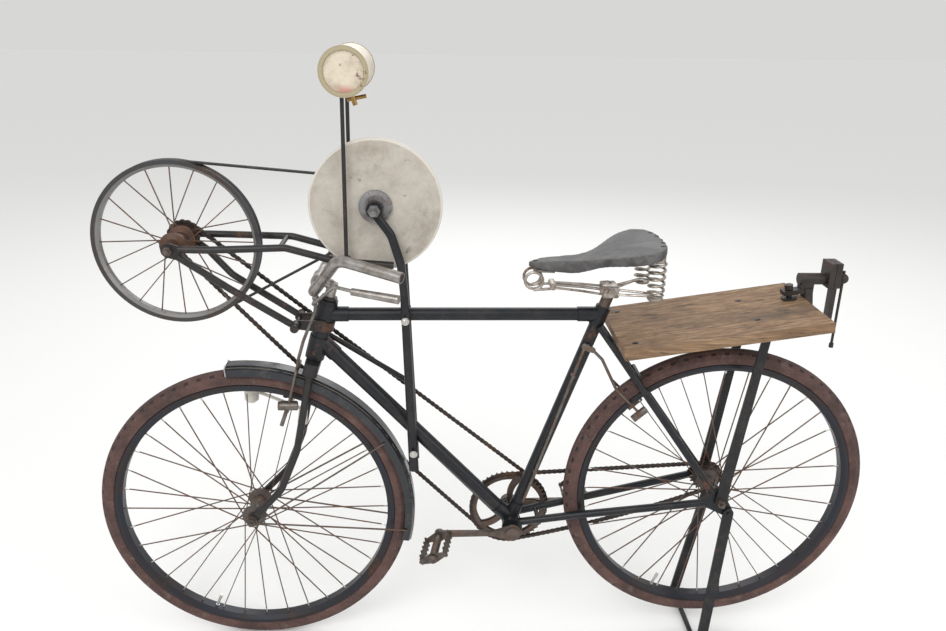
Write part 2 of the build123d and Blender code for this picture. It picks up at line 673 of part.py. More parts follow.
# Stays that carry the drive wheel, and their clamp on the head tube
upper = []
lower = []
clamp_x = rear_x - stay_clamp_back
clamp_end_y = 34.0
for side, hub_y, waist in ((-1, drive_near_y, [(rear_x - 1080, -44, 911)]),
                           (1, drive_far_y, [(drive_x + 44, drive_far_y - 3, drive_z - 32), (rear_x - 1094, 40, 916)])):
    y = side * (hub_y + dropout_thick / 2)
    plate = joined((drive_x, drive_z, 15), (drive_x + 24, drive_z + 2, 6), (drive_x + 20, drive_z - 15, 6))
    plate = flat(plate - Pos(drive_x, drive_z) * Circle(hub_axle_radius + tight_gap), y, dropout_thick)
    stay = bent([(drive_x + 20, y, drive_z + 2), (rear_x - 1112, y, 997), (rear_x - 961, side * rod_y, 1000),
                 (rear_x - 860, side * rod_y, 972), (rear_x - 742, side * rod_y, 963)], stay_radius, 40)
    low = bent([(drive_x + 17, y, drive_z - 13), *waist, (clamp_x, side * clamp_end_y, stay_clamp_z)],
               stay_radius, 55)
    near_end = cross(clamp_x, stay_clamp_z, side * (clamp_end_y - 8), side * (clamp_end_y + 8), 10)
    low = low - plate
    upper.append(stay - plate - low - posts[0] - posts[1])
    lower.append(low + plate + near_end)
bridge = cross(rear_x - 972, 1000, -44, 44, 5)
parts["drive_upper_stays"] = upper[0] + upper[1] + bridge
clamp_bolt = cross(clamp_x, stay_clamp_z, -48, 48, 5)
clamp_bolt = clamp_bolt + cross(clamp_x, stay_clamp_z, -51, -46, 9) + cross(clamp_x, stay_clamp_z, 46, 51, 9)
parts["drive_lower_stays"] = lower[0] + lower[1] - clamp_bolt
clamp_outline = joined((clamp_x, stay_clamp_z, 10), (head_at(stay_clamp_z - 4), stay_clamp_z - 4, 13))
cheeks = [flat(clamp_outline, side * 23.5, 4) for side in (-1, 1)]
head_band = rod((head_at(808), 0, 808), (head_at(828), 0, 828), head_tube_radius + 6.2)
clamp = cheeks[0] + cheeks[1] + head_band - head_sleeve - head_tube - top_blank - top_lug
parts["stay_clamp"] = clamp + (clamp_bolt - head_band)

# Water can on two rods
can_face = can_length / 2
can = turned([
    (0, -can_face + 5), (can_radius - 10, -can_face + 5), (can_radius - 8, -can_face), (can_radius, -can_face),
    (can_radius, -can_face + can_rim), (can_radius - 1.5, -can_face + can_rim + 1),
    (can_radius - 1.5, can_face - can_rim - 1), (can_radius, can_face - can_rim), (can_radius, can_face),
    (can_radius - 8, can_face), (can_radius - 10, can_face - 5), (0, can_face - 5),
])
can = Pos(rod_x + 12, 0, can_z) * can
rod_foot_z = 973.0
rods = []
for side in (-1, 1):
    bar_up = rod((rod_x, side * rod_y, rod_foot_z), (rod_x + 4, side * rod_y, can_z - can_radius + 14), rod_radius)
    foot = cross(rod_x, rod_foot_z + 1, side * rod_y - 9, side * rod_y + 9, 9)
    rods.append((bar_up + foot) - can - parts["drive_upper_stays"])
parts["water_can"] = can
parts["can_rods"] = Compound(rods)
tap = rod((rod_x + 16, 8, can_z - can_radius + 3), (rod_x + 24, 8, can_z - can_radius - 22), 5)
tap = tap + rod((rod_x + 8, 8, can_z - can_radius - 12), (rod_x + 46, 8, can_z - can_radius - 4), 4)
parts["water_tap"] = tap - can

# Saddle: the plan cut to the side view
nose_x = rear_x - saddle_back
plan = make_face(Spline((0, 0), (14, -13), (70, -24), (140, -42), (196, -92), (244, -104), (276, -70), (284, 0),
                        (276, 70), (244, 104), (196, 92), (140, 42), (70, 24), (14, 13), (0, 0)))
side_top = Spline((-10, 16), (0, 18), (70, 25), (130, 31), (200, 54), (260, 67), (300, 66))
side_low = Spline((300, 52), (232, 40), (155, 19), (100, -1), (60, 0), (-10, 5))
side_face = make_face(Curve() + [side_top, Line((300, 66), (300, 52)), side_low, Line((-10, 5), (-10, 16))])
saddle = extrude(plan, amount=120) & (Pos(0, 0, 40) * flat(side_face, 0, 240))
parts["saddle_top"] = Pos(nose_x, 0, 901) * saddle

# Seat pillar, saddle clamp, rails and coil springs
pillar_x = seat_at(clamp_z - 12)
pillar = rod((seat_at(790), 0, 790), (pillar_x, 0, clamp_z - 12), 12.4)
parts["seat_pillar"] = pillar
front_bolt_x = nose_x + 54
rear_coil_x = rear_x - 196
rear_coil_y = 60.0
rear_coil_turns = ((893, 899), (907, 913), (921, 927), (935, 941), (949, 955), (963, 996))
coil_gap = 4.0
leaf_y = 13.0
springs = block(pillar_x - 17, pillar_x + 17, -26, 26, clamp_z - 13, clamp_z + 12)
springs = springs + cross(pillar_x, clamp_z, -36, 36, 6) + hexagon(pillar_x, clamp_z, -36, -28, 11)
springs = springs + hexagon(pillar_x, clamp_z, 28, 36, 11)
springs = springs + cross(front_bolt_x, 908, -20, 20, 8)
for side in (-1, 1):
    for y, low, spread in ((10, 4, 0), (16, -5, 8)):
        rail = bent([(front_bolt_x, side * y, 908 + low / 2), (pillar_x, side * (y + 4), clamp_z + low),
                     (rear_coil_x, side * (rear_coil_y - 10 + spread), 903 - spread / 2)], spring_wire - 0.7, 60)
        springs = springs + rail
    for y in (leaf_y - coil_gap, leaf_y + coil_gap):
        springs = springs + ring(nose_x + 12, 921, side * y - spring_wire, side * y + spring_wire, 22.5, 15.5)
    springs = springs + block(nose_x + 6, front_bolt_x, side * leaf_y - 6, side * leaf_y + 6, 899.5, 904.5)
    springs = springs + block(nose_x + 6, nose_x + 58, side * leaf_y - 6, side * leaf_y + 6, 937.5, 941.5)
    springs = springs + rod((rear_coil_x, side * rear_coil_y, 893), (rear_coil_x, side * rear_coil_y, 996), 13)
    for low, high in rear_coil_turns:
        springs = springs + rod((rear_coil_x, side * rear_coil_y, low), (rear_coil_x, side * rear_coil_y, high), 19)
parts["saddle_springs"] = springs - parts["saddle_top"] - pillar

# Plank and its uprights
plank = Box(plank_length, plank_width, plank_thick, align=(Align.MIN, Align.CENTER, Align.MAX))
plank_place = Pos(rear_x - plank_front_back, 0, plank_front_z) * Rot(0, -plank_tilt, 0)
plank = (plank_place * plank) - parts["seat_stays"]
parts["plank"] = plank


def plank_at(x):
    return plank_front_z + (x - (rear_x - plank_front_back)) * math.tan(math.radians(plank_tilt))


uprights = []
upright_y = rear_nut + upright_thick / 2
top_x = rear_x + 54
top_z = plank_at(top_x)
for side in (-1, 1):
    strip = joined((rear_x, rear_z, 13), (top_x, top_z - 26, 9)) - Pos(rear_x, rear_z) * Circle(hub_axle_radius + tight_gap)
    tab_y = side * (upright_y - upright_thick / 2)
    tab = block(top_x - 11, top_x + 11, min(tab_y, tab_y - side * 22), max(tab_y, tab_y - side * 22),
                top_z - 34, top_z - 10)
    uprights.append((flat(strip, side * upright_y, upright_thick) + tab) - plank)
parts["plank_uprights"] = Compound(uprights)

# Stand: two legs on a pivot pin each, joined by a foot bar
pivot_x = rear_x + stand_pivot_x
leg_in = rear_nut + 0.5
leg_out = leg_in + leg_thick
foot_bar = cross(rear_x + foot_x, foot_radius, -leg_foot_y - 6, leg_foot_y + 6, foot_radius)
stand = foot_bar
for side in (-1, 1):
    top = Vector(pivot_x, side * (leg_in + leg_thick / 2), stand_pivot_z)
    run = Vector(rear_x + foot_x, side * leg_foot_y, foot_radius) - top
    plane = Plane(origin=top, x_dir=(-run.Z, 0, run.X), z_dir=run)
    leg = extrude(plane * Rectangle(leg_wide, leg_thick), amount=run.length - 2)
    room = block(pivot_x - 40, pivot_x + 40, min(0, side * leg_in), max(0, side * leg_in),
                 stand_pivot_z - 30, stand_pivot_z + 30)
    eye = cross(pivot_x, stand_pivot_z, side * leg_in, side * leg_out, leg_wide / 2)
    pin = cross(pivot_x, stand_pivot_z, side * (rear_dropout_y - 2), side * (leg_out + 4), stand_pin_radius)
    stand = stand + ((leg - room) + eye + pin)
parts["stand"] = stand

# Vise clamped over the plank's rear edge
half = 14.0
inner_arm = plank_length - 46
outer_arm = plank_length + 17
clamp_low = -plank_thick - 14
bracket = block(plank_length + 0.3, outer_arm, vise_y - half, vise_y + half, clamp_low, 22)
bracket = bracket + block(inner_arm, outer_arm, vise_y - half, vise_y + half, clamp_low, -plank_thick)
bracket = bracket + block(inner_arm, outer_arm, vise_y - half + 2, vise_y + half - 2, 12, 22)
pad_at = inner_arm + 15
bracket = bracket + rod((pad_at, vise_y, 0), (pad_at, vise_y, 4), 17) + rod((pad_at, vise_y, 4), (pad_at, vise_y, 26), 6)
bracket = bracket + rod((pad_at, vise_y, 24), (pad_at, vise_y, 34), 9)
bracket = plank_place * bracket
jaw_x = rear_x + 204
jaw_thick = 13.0
jaw_top = vise_z + 40
jaw_half = 22.0
guide_radius = 8.0
vise = bracket + block(rear_x + 150, rear_x + 178, vise_y - 11, vise_y + 11, vise_z - 30, vise_z)
vise = vise + rod((rear_x + 146, vise_y, vise_z), (jaw_x, vise_y, vise_z), 13)
vise = vise + block(jaw_x, jaw_x + jaw_thick, vise_y - jaw_half, vise_y + jaw_half, vise_z - 16, jaw_top)
vise = vise - rod((rear_x + 150, vise_y, vise_z), (jaw_x + 20, vise_y, vise_z), guide_radius + bearing_gap)
parts["vise_body"] = vise - plank
slide_x = jaw_x + jaw_thick + 1
jaw = block(slide_x, slide_x + jaw_thick, vise_y - jaw_half, vise_y + jaw_half, vise_z - 16, jaw_top)
jaw = jaw + block(slide_x + 2, slide_x + jaw_thick, vise_y - 10, vise_y + 10, vise_z - 106, vise_z - 16)
jaw = jaw + rod((rear_x + 156, vise_y, vise_z), (slide_x, vise_y, vise_z), guide_radius)
eye_x = slide_x + 28
jaw = jaw + rod((slide_x + jaw_thick, vise_y, vise_z), (eye_x, vise_y, vise_z), 6)
jaw = jaw + Pos(eye_x, vise_y, vise_z) * Sphere(11.5)
jaw = jaw + rod((eye_x, vise_y, vise_z - 160), (eye_x, vise_y, vise_z + 18), 3)
jaw = jaw + rod((eye_x, vise_y, vise_z - 164), (eye_x, vise_y, vise_z - 154), 5)
parts["vise_jaw"] = jaw

# Rear brake: bell crank, stirrup round the tyre and a block on each side
lever_y = -24.0
bell_x = rear_x - 330
bell_z = 772.0
bell = flat(joined((bell_x, bell_z, 7), (rear_x - 312, bell_z - 8, 6)), lever_y, 5)
bell = bell + cross(seat_at(bell_z), bell_z - 2, lever_y, -14, 4)
corner_x = rear_x - 254
corner_z = 670.0
pull = bent([(rear_x - 312, lever_y, bell_z - 8), (rear_x - 290, -25, 742), (corner_x, -20, corner_z)],
            brake_rod_radius + 0.5, 10)
rear_brake = bell + pull
shoe_x = rear_x - 197
shoe_z = 610.0
rear_stirrup = bent([(shoe_x - 2, -29, shoe_z + 4), (corner_x, -29, corner_z), (corner_x, 29, corner_z),
                     (shoe_x - 2, 29, shoe_z + 4)], brake_rod_radius, 10)
rear_brake = rear_brake + rear_stirrup
for side in (-1, 1):
    rear_brake = rear_brake + rod((shoe_x - 14, side * 29, shoe_z - 13), (shoe_x + 14, side * 29, shoe_z + 13), 8.5)
parts["rear_brake"] = rear_brake - parts["seat_stays"] - seat_tube

rear_rod = bent([(rear_x - 903, 0, 762), (rear_x - 880, 0, 732), (bb_x - 30, 0, bb_z + 8)], brake_rod_radius, 14)
low_x = rear_x - 452
low_z = bb_z + 60
bell_rod = rod((low_x, lever_y, low_z), (bell_x, lever_y, bell_z), brake_rod_radius)
for share in (0.2, 0.82):
    at_x = low_x + share * (bell_x - low_x)
    at_z = low_z + share * (bell_z - low_z)
    bell_rod = bell_rod + cross(at_x, at_z, lever_y - 4, -8, 4)
rear_rod = rear_rod - down_blank - shell - head_tube
parts["brake_rods"] = Compound([rear_rod, bell_rod - shell - seat_tube - parts["rear_brake"]])

for name, shape in parts.items():
    solids = shape.solids()
    export_step(Compound(solids) if len(solids) > 1 else solids[0], f"parts/{name}.step")
    print(name, len(solids))
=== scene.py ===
import bpy
import bmesh
import math
from mathutils import Matrix, Vector


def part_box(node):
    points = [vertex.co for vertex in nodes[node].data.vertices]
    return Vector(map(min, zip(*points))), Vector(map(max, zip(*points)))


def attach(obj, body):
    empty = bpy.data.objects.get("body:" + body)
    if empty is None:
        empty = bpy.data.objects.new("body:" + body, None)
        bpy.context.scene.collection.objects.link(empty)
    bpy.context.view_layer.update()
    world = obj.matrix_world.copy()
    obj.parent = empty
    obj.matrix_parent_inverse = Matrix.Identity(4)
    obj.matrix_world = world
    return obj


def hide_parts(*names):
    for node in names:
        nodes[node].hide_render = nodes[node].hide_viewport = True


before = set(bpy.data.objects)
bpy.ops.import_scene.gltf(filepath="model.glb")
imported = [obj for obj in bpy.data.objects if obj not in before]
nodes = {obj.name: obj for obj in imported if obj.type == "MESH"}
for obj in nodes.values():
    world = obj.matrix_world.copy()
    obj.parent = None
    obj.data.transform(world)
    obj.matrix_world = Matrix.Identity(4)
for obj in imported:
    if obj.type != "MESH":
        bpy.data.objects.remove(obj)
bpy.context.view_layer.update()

# the camera stands where the photographer stood; metres and pixels
camera = {
    "place": (-0.1083, -1.6547, 1.4517),
    "pitch": 0.3558,
    "yaw": -0.0431,
    "roll": 0.0150,
    "focalPixels": 812.96,
    "imageWidth": 946,
    "sensor": 36.0,
    "nearest": 0.05,
}


def placeCamera(look):
    forward = Vector((
        -math.sin(look["yaw"]) * math.cos(look["pitch"]),
        math.cos(look["yaw"]) * math.cos(look["pitch"]),
        -math.sin(look["pitch"]),
    ))
    right = forward.cross(Vector((0, 0, 1))).normalized()
    up = right.cross(forward)
    tilted = right * math.cos(look["roll"]) + up * math.sin(look["roll"])
    above = up * math.cos(look["roll"]) - right * math.sin(look["roll"])
    data = bpy.data.cameras.new("camera")
    data.sensor_width = look["sensor"]
    data.sensor_fit = "HORIZONTAL"
    data.lens = look["focalPixels"] / look["imageWidth"] * look["sensor"]
    data.clip_start = look["nearest"]
    shooter = bpy.data.objects.new("camera", data)
    bpy.context.scene.collection.objects.link(shooter)
    turn = Matrix((tilted, above, -forward)).transposed().to_4x4()
    shooter.matrix_world = Matrix.Translation(look["place"]) @ turn
    bpy.context.scene.camera = shooter


placeCamera(camera)
print("camera placed")


class Wire:
    # wraps one output socket, so that shader maths reads as sums
    def __init__(self, finish, socket):
        self.finish = finish
        self.socket = socket

    def joined(self, operation, *values):
        slots = {f"n{place}": value for place, value in enumerate(values)}
        return self.finish.node("ShaderNodeMath", {"operation": operation}, **slots)

    def __add__(self, other):
        return self.joined("ADD", self, other)

    def __radd__(self, other):
        return self.joined("ADD", other, self)

    def __sub__(self, other):
        return self.joined("SUBTRACT", self, other)

    def __rsub__(self, other):
        return self.joined("SUBTRACT", other, self)

    def __mul__(self, other):
        return self.joined("MULTIPLY", self, other)

    def __rmul__(self, other):
        return self.joined("MULTIPLY", other, self)

    def __pow__(self, other):
        return self.joined("POWER", self, other)

    def smallest(self, other):
        return self.joined("MINIMUM", self, other)

    def away(self):
        return self.joined("ABSOLUTE", self)

    def fraction(self):
        return self.joined("FRACT", self)

    def turnFrom(self, other):
        return self.joined("ARCTAN2", self, other)

    def wave(self, pitch):
        # 0 to 1 and back over each pitch
        return self.joined("SINE", self * (2 * math.pi / pitch)) * 0.5 + 0.5

    def between(self, low, high):
        # 0 at low, 1 at high, smooth in the middle
        return self.finish.node("ShaderNodeMapRange", {"interpolation_type": "SMOOTHSTEP"},
                                Value=self, From_Min=low, From_Max=high)

    def band(self, low, high, edge):
        # 1 from low to high, with both ends faded over the edge
        return self.between(low - edge, low + edge) * (1.0 - self.between(high - edge, high + edge))


class Finish:
    # one material and the nodes in it
    def __init__(self, name):
        self.material = bpy.data.materials.new(name)
        self.material.use_nodes = True
        self.tree = self.material.node_tree
        self.shader = self.tree.nodes["Principled BSDF"]
        self.place = self.node("ShaderNodeTexCoord", out="Object")

    def fill(self, slot, value):
        if isinstance(value, Wire):
            self.tree.links.new(value.socket, slot)
        elif slot.type == "RGBA":
            slot.default_value = (*value, 1.0)
        else:
            slot.default_value = value

    def node(self, kind, settings=None, out=0, **values):
        # a value called n2 goes to the third socket, any other to the socket of its name
        made = self.tree.nodes.new(kind)
        for key, value in (settings or {}).items():
            if key == "stops":
                ramp = made.color_ramp.elements
                while len(ramp) < len(value):
                    ramp.new(0.5)
                for stop, (place, colour) in zip(ramp, value):
                    stop.position = place
                    stop.color = (*colour, 1.0)
            else:
                setattr(made, key, value)
        for key, value in values.items():
            self.fill(made.inputs[int(key[1:]) if key[1:].isdigit() else key.replace("_", " ")], value)
        return Wire(self, made.outputs[out])

    def noise(self, scale, detail, rough=0.6, stretch=(1, 1, 1), shift=(0, 0, 0), warp=0.0):
        where = self.node("ShaderNodeMapping", Vector=self.place, Scale=stretch, Location=shift)
        return self.node("ShaderNodeTexNoise", Vector=where, Scale=scale, Detail=detail, Roughness=rough,
                         Distortion=warp)

    def spots(self, scale):
        return self.node("ShaderNodeTexVoronoi", out="Distance", Vector=self.place, Scale=scale)

    def mix(self, amount, first, second):
        return self.node("ShaderNodeMix", {"data_type": "RGBA"}, out=2, n0=amount, n6=first, n7=second)

    def part(self, axis):
        return self.node("ShaderNodeSeparateXYZ", out=axis, Vector=self.place)

    def reach(self, hub):
        # distance from a wheel's axle
        along = self.part(0) - hub[0]
        high = self.part(2) - hub[1]
        return (along * along + high * high) ** 0.5

    def turn(self, hub):
        return (self.part(2) - hub[1]).turnFrom(self.part(0) - hub[0])

    def close(self, colour, rough, metal, bump, height, **fixed):
        # height is how far the bump reaches, in metres
        for name, value in {"Base Color": colour, "Roughness": rough, "Metallic": metal, **fixed}.items():
            self.fill(self.shader.inputs[name.replace("_", " ")], value)
        raised = self.node("ShaderNodeBump", out="Normal", Height=bump, Distance=height, Strength=1.0)
        self.fill(self.shader.inputs["Normal"], raised)
        return self.material


rustTones = {"dark": (0.040, 0.019, 0.012), "mid": (0.105, 0.044, 0.022), "bright": (0.23, 0.10, 0.045)}


def rustColour(made, scale):
    grain = made.noise(scale, 6.0, 0.7)
    return made.node("ShaderNodeValToRGB", {"stops": [
        (0.25, rustTones["dark"]), (0.5, rustTones["mid"]), (0.78, rustTones["bright"])]}, Fac=grain)


def makeWornPaint(name, look):
    # enamel that has chipped down to rust and gathered dust
    made = Finish(name)
    fine = made.noise(140.0, 6.0, 0.7)
    broad = made.noise(look["patch"], 5.0, 0.65)
    chip = (broad * 0.7 + fine * 0.3).between(look["chipLow"], look["chipHigh"])
    dirt = made.noise(26.0, 6.0, 0.75, shift=(3, 1, 2)).between(0.42, 0.78) * look["dust"]
    paint = made.mix(dirt, look["paint"], look["dustColour"])
    colour = made.mix(chip, paint, rustColour(made, 90.0))
    rough = look["gloss"] + chip * 0.45 + dirt * 0.5
    bump = fine * 0.3 - chip * 0.6
    return made.close(colour, rough.smallest(0.95), 0.0, bump, 0.00035,
                      IOR=1.5, Specular_IOR_Level=look["sheen"])


def makeRustySteel(name, look):
    # bare or once plated steel under a coat of rust
    made = Finish(name)
    fine = made.noise(160.0, 7.0, 0.75)
    broad = made.noise(look["patch"], 5.0, 0.7, shift=(1, 4, 2))
    rust = (broad * 0.65 + fine * 0.35).between(look["rustLow"], look["rustHigh"])
    bare = made.mix(made.noise(60.0, 4.0).between(0.3, 0.8), look["bare"], look["stain"])
    colour = made.mix(rust, bare, rustColour(made, 110.0))
    rough = look["gloss"] + rust * (0.9 - look["gloss"])
    metal = (1.0 - rust) * look["metal"]
    return made.close(colour, rough, metal, fine * 0.8 + rust * 0.7, 0.0003)


finishes = {
    "frameEnamel": {"paint": (0.010, 0.011, 0.014), "patch": 11.0, "chipLow": 0.60, "chipHigh": 0.68,
                    "gloss": 0.30, "sheen": 0.30, "dust": 0.25, "dustColour": (0.085, 0.075, 0.065)},
    "standPaint": {"paint": (0.012, 0.012, 0.014), "patch": 13.0, "chipLow": 0.60, "chipHigh": 0.68,
                   "gloss": 0.45, "sheen": 0.3, "dust": 0.35, "dustColour": (0.09, 0.08, 0.07)},
    "whitePaint": {"paint": (0.62, 0.60, 0.55), "patch": 15.0, "chipLow": 0.56, "chipHigh": 0.66,
                   "gloss": 0.40, "sheen": 0.5, "dust": 0.7, "dustColour": (0.33, 0.29, 0.24)},
    "oldChrome": {"bare": (0.36, 0.345, 0.33), "stain": (0.20, 0.165, 0.14), "patch": 14.0,
                  "rustLow": 0.52, "rustHigh": 0.70, "gloss": 0.30, "metal": 0.85},
    "brownSteel": {"bare": (0.125, 0.105, 0.092), "stain": (0.060, 0.046, 0.038), "patch": 16.0,
                   "rustLow": 0.44, "rustHigh": 0.68, "gloss": 0.45, "metal": 0.6},
    "darkSteel": {"bare": (0.030, 0.029, 0.030), "stain": (0.022, 0.018, 0.016), "patch": 14.0,
                  "rustLow": 0.54, "rustHigh": 0.68, "gloss": 0.42, "metal": 0.45},
    "greySteel": {"bare": (0.26, 0.26, 0.265), "stain": (0.13, 0.115, 0.105), "patch": 13.0,
                  "rustLow": 0.52, "rustHigh": 0.66, "gloss": 0.35, "metal": 0.8},
    "brightSteel": {"bare": (0.62, 0.61, 0.58), "stain": (0.36, 0.33, 0.29), "patch": 20.0,
                    "rustLow": 0.60, "rustHigh": 0.75, "gloss": 0.28, "metal": 0.85},
    "springSteel": {"bare": (0.42, 0.39, 0.35), "stain": (0.20, 0.16, 0.13), "patch": 18.0,
                    "rustLow": 0.48, "rustHigh": 0.64, "gloss": 0.32, "metal": 0.8},
    "dullSteel": {"bare": (0.17, 0.155, 0.14), "stain": (0.085, 0.060, 0.045), "patch": 16.0,
                  "rustLow": 0.46, "rustHigh": 0.64, "gloss": 0.42, "metal": 0.65},
    "oilyChain": {"bare": (0.040, 0.030, 0.026), "stain": (0.022, 0.017, 0.015), "patch": 18.0,
                  "rustLow": 0.50, "rustHigh": 0.68, "gloss": 0.45, "metal": 0.5},
    "viseIron": {"bare": (0.040, 0.032, 0.028), "stain": (0.022, 0.018, 0.016), "patch": 16.0,
                 "rustLow": 0.52, "rustHigh": 0.70, "gloss": 0.50, "metal": 0.4},
}
paintedFinishes = ("frameEnamel", "standPaint", "whitePaint")
materials = {}
for title, look in finishes.items():
    make = makeWornPaint if title in paintedFinishes else makeRustySteel
    materials[title] = make(title, look)


def makeTyreRubber(name, look):
    # a ribbed tread with a row of small square pits on each shoulder; the pits and the rib grooves are
    # darkened with painted shade
    made = Finish(name)
    fine = made.noise(220.0, 6.0, 0.7)
    broad = made.noise(14.0, 5.0, 0.7)
    worn = (broad * 0.6 + fine * 0.4).between(0.38, 0.66)
    colour = made.mix(worn, look["dark"], look["light"])
    cracks = made.spots(160.0).between(0.0, 0.28)
    dirt = made.noise(40.0, 5.0, shift=(5, 2, 1)).between(0.55, 0.75)
    colour = made.mix(dirt * look["dustiness"], colour, look["dust"])
    height = fine + cracks * 0.5
    if "hub" in look:
        side = made.part(1).away()
        lean = side.turnFrom(made.reach(look["hub"]) - look["sectionRadius"])
        row = lean.band(*look["pitRow"])
        step = (made.turn(look["hub"]) * (look["pits"] / (2 * math.pi)) + look["pitShift"]).fraction()
        shadedPit = row * step.band(*look["pitLength"])
        ribs = side.wave(look["ribPitch"]) * (1.0 - lean.between(*look["ribsFade"]))
        # the pits and the rib grooves are mixed towards the near black pit colour: painted shade in the
        # recesses
        colour = made.mix(shadedPit * 0.85, colour, look["shadedPit"])
        colour = made.mix(ribs * 0.45, colour, look["shadedPit"])
        height = height * 0.35 - shadedPit * 2.2 - ribs * 1.2
    return made.close(colour, 0.82, 0.0, height, 0.0006)


def makeWheelSteel(name, look):
    # rim, spokes and hub of one wheel, told apart by their distance from the axle
    made = Finish(name)
    reach = made.reach(look["hub"])
    fine = made.noise(170.0, 7.0, 0.75)
    broad = made.noise(look["patch"], 5.0, 0.7, shift=(2, 1, 3))
    rust = (broad * 0.6 + fine * 0.4).between(look["rustLow"], look["rustHigh"])
    rim = made.mix(broad.between(0.35, 0.7), look["rim"], look["rimStain"])
    rim = made.mix(rust, rim, rustColour(made, 100.0))
    spoke = made.mix(made.noise(50.0, 5.0).between(0.4, 0.62), look["spoke"], rustColour(made, 130.0))
    hubTone = made.mix(made.noise(35.0, 6.0).between(0.45, 0.80), look["hubTone"], rustColour(made, 80.0))
    onSpoke = 1.0 - reach.between(look["rimInner"] - 0.004, look["rimInner"] + 0.001)
    onHub = 1.0 - reach.between(look["hubReach"], look["hubReach"] + 0.004)
    colour = made.mix(onHub, made.mix(onSpoke, rim, spoke), hubTone)
    if "lip" in look:
        colour = made.mix(reach.band(*look["lip"]) * 0.7 * (1.0 - rust), colour, look["lipTone"])
    rough = look["gloss"] + rust * 0.4 + onSpoke * 0.15
    return made.close(colour, rough.smallest(0.92), look["metal"], fine * 0.8 + rust * 0.6, 0.0003)


def makeGuard(name, look):
    # dark enamel with a fine cream line near each edge
    made = Finish(name)
    fine = made.noise(150.0, 6.0, 0.7)
    broad = made.noise(8.0, 5.0, 0.65)
    line = made.part(1).away().band(*look["line"]) * (1.0 - broad.between(0.52, 0.60))
    dirt = made.noise(24.0, 6.0, 0.75, shift=(3, 1, 2)).between(0.45, 0.80) * look["dust"]
    chip = (broad * 0.7 + fine * 0.3).between(0.62, 0.68)
    colour = made.mix(line * 0.75, look["paint"], look["lineTone"])
    colour = made.mix(dirt, colour, look["dustColour"])
    colour = made.mix(chip, colour, rustColour(made, 90.0))
    rough = 0.22 + chip * 0.5 + dirt * 0.5
    return made.close(colour, rough.smallest(0.9), 0.0, fine * 0.2 - chip * 0.5, 0.0003, IOR=1.5)


def makeCan(name, look):
    # cream enamel, a khaki lid at each end and a red patch worn through low at the back
    made = Finish(name)
    fine = made.noise(140.0, 6.0, 0.7)
    broad = made.noise(13.0, 5.0, 0.65)
    ends = made.part(1).away().between(look["lidFrom"] - 0.0006, look["lidFrom"])
    low = 1.0 - (made.part(2) + broad * 0.03).between(look["redBelow"] - 0.012, look["redBelow"] + 0.006)
    back = (made.part(0) + broad * 0.04).between(look["redBehind"] - 0.010, look["redBehind"] + 0.010)
    colour = made.mix(low * back * 0.8, look["body"], look["red"])
    grimy = made.noise(30.0, 6.0, 0.7, shift=(1, 5, 2)).between(0.40, 0.72)
    colour = made.mix(grimy * 0.55, colour, look["grime"])
    colour = made.mix(ends, colour, look["lid"])
    rings = ends * made.reach(look["centre"]).wave(look["ringPitch"])
    colour = made.mix(rings * 0.35, colour, look["grime"])
    chip = (broad * 0.65 + fine * 0.35).between(0.58, 0.65)
    colour = made.mix(chip, colour, rustColour(made, 90.0))
    return made.close(colour, 0.42 + chip * 0.4, 0.0, fine * 0.3 - chip * 0.5 - rings * 0.6, 0.0005)


def makeWood(name, look):
    # long grain with stains, cracks and nicks
    made = Finish(name)
    grain = made.noise(10.0, 8.0, 0.62, stretch=(1.0, 11.0, 11.0), warp=0.35)
    streak = made.noise(34.0, 6.0, 0.6, stretch=(0.5, 9.0, 9.0), shift=(0, 2, 5))
    colour = made.node("ShaderNodeValToRGB", {"stops": [
        (0.28, look["dark"]), (0.5, look["mid"]), (0.72, look["light"])]}, Fac=grain * 0.65 + streak * 0.35)
    stain = made.noise(6.0, 6.0, 0.7, stretch=(0.55, 1.4, 1.4), shift=(2, 3, 4)).between(0.48, 0.70)
    colour = made.mix(stain * 0.75, colour, look["stain"])
    crack = made.noise(15.0, 5.0, 0.6, stretch=(0.22, 5.0, 5.0), shift=(6, 1, 2)).between(0.63, 0.655)
    colour = made.mix(crack * 0.8, colour, look["dark"])
    nicks = made.noise(80.0, 4.0, 0.7, stretch=(0.25, 1, 1)).between(0.64, 0.70)
    colour = made.mix(nicks * 0.7, colour, look["dark"])
    return made.close(colour, 0.78, 0.0, streak - crack + grain - nicks, 0.0008)


def makeLeather(name, look):
    # dry leather, paler where it is worn
    made = Finish(name)
    pores = made.spots(520.0)
    folds = made.noise(22.0, 6.0, 0.7, warp=0.6)
    worn = made.noise(13.0, 5.0, 0.7, shift=(1, 1, 1)).between(0.48, 0.70)
    colour = made.mix(folds.between(0.35, 0.7), look["dark"], look["mid"])
    colour = made.mix(worn * 0.6, colour, look["worn"])
    return made.close(colour, 0.55 + worn * 0.25, 0.0, pores * 0.4 + folds, 0.0008)


def makeStone(name, look):
    # clouded grit with dark marks, rust stains and a clean rim
    made = Finish(name)
    grit = made.noise(420.0, 6.0, 0.8)
    cloud = made.noise(16.0, 6.0, 0.65)
    colour = made.node("ShaderNodeValToRGB", {"stops": [
        (0.3, look["dark"]), (0.5, look["mid"]), (0.72, look["light"])]}, Fac=cloud * 0.7 + grit * 0.3)
    marks = made.noise(32.0, 7.0, 0.75, shift=(4, 1, 3)).between(0.60, 0.68)
    colour = made.mix(marks * 0.75, colour, look["mark"])
    rust = made.noise(7.0, 4.0, 0.7, stretch=(1.6, 1.0, 0.8), shift=(0.7, 2, 2)).between(0.50, 0.72)
    colour = made.mix(rust * 0.35, colour, look["rust"])
    rim = made.reach(look["centre"]).between(look["rimFrom"] - 0.001, look["rimFrom"] + 0.001)
    colour = made.mix(rim * 0.65, colour, look["rim"])
    return made.close(colour, 0.9, 0.0, grit + cloud * 0.5, 0.0006)
